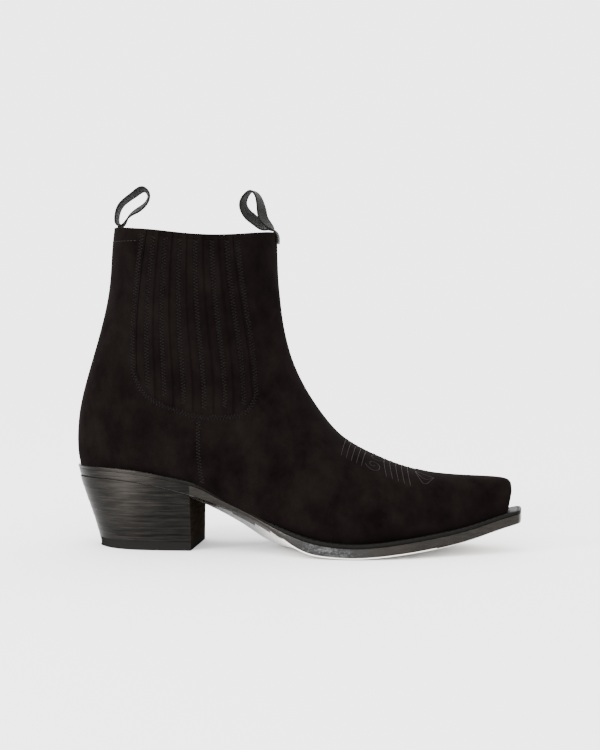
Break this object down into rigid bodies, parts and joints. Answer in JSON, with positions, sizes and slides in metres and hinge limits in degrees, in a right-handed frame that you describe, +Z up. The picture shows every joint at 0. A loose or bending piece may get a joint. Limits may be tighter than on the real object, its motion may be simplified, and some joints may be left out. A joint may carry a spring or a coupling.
{
  "type": "cowboy boot",
  "caption": "Right western ankle boot with snip toe, elastic side gores, two folding webbing pull tabs and an underslung stacked heel.",
  "frame": {"origin": "middle of the outsole's length and width, on the ground", "axes": "+X from heel to toe, +Y towards the inner side of the foot, +Z up"},
  "size_m": [0.3051, 0.104, 0.2468],
  "materials": {
    "suede": "black suede",
    "elastic": "woven elastic",
    "heel_leather": "burnished black stacked leather",
    "lining_leather": "smooth lining leather",
    "stiffener": "stiffened leather board",
    "interlining": "cotton twill",
    "insole_leather": "veg-tanned leather board",
    "welt_leather": "black inked edge",
    "sole_leather": "pale leather with black inked edge",
    "cork": "cork filler",
    "steel": "spring steel",
    "peg_wood": "lemonwood pegs",
    "rubber": "fine ribbed rubber",
    "webbing": "herringbone webbing"
  },
  "bodies": {
    "boot": {"vamp": "suede", "quarter": "suede", "gore_cover_outer": "suede", "gore_cover_inner": "suede", "elastic_gore_outer": "elastic", "elastic_gore_inner": "elastic", "toe_puff": "stiffener", "vamp_interlining": "interlining", "quarter_interlining": "interlining", "heel_counter": "stiffener", "vamp_lining": "lining_leather", "quarter_lining": "lining_leather", "insole": "insole_leather", "sock_liner": "lining_leather", "welt": "welt_leather", "heel_rand": "heel_leather", "cork_filler": "cork", "heel_seat_filler": "insole_leather", "shank": "steel", "outsole": "sole_leather", "waist_pegs": "peg_wood", "heel_nails": "steel", "top_lift": "rubber", "top_lift_nails": "steel", "heel_lift_1": "heel_leather", "heel_lift_2": "heel_leather", "heel_lift_3": "heel_leather", "heel_lift_4": "heel_leather", "heel_lift_5": "heel_leather", "heel_lift_6": "heel_leather", "heel_lift_7": "heel_leather", "heel_lift_8": "heel_leather"},
    "rear_tab": {"rear_pull_tab": "webbing"},
    "front_tab": {"front_pull_tab": "webbing"}
  },
  "joints": [
    {"name": "rear_tab_fold", "type": "hinge", "parent": "boot", "child": "rear_tab", "pos_m": [-0.1222, 0, 0.2203], "axis": [0, 1, 0], "range_deg": [-70, 30]},
    {"name": "front_tab_fold", "type": "hinge", "parent": "boot", "child": "front_tab", "pos_m": [-0.0183, 0, 0.2172], "axis": [0, 1, 0], "range_deg": [-30, 70]}
  ]
}
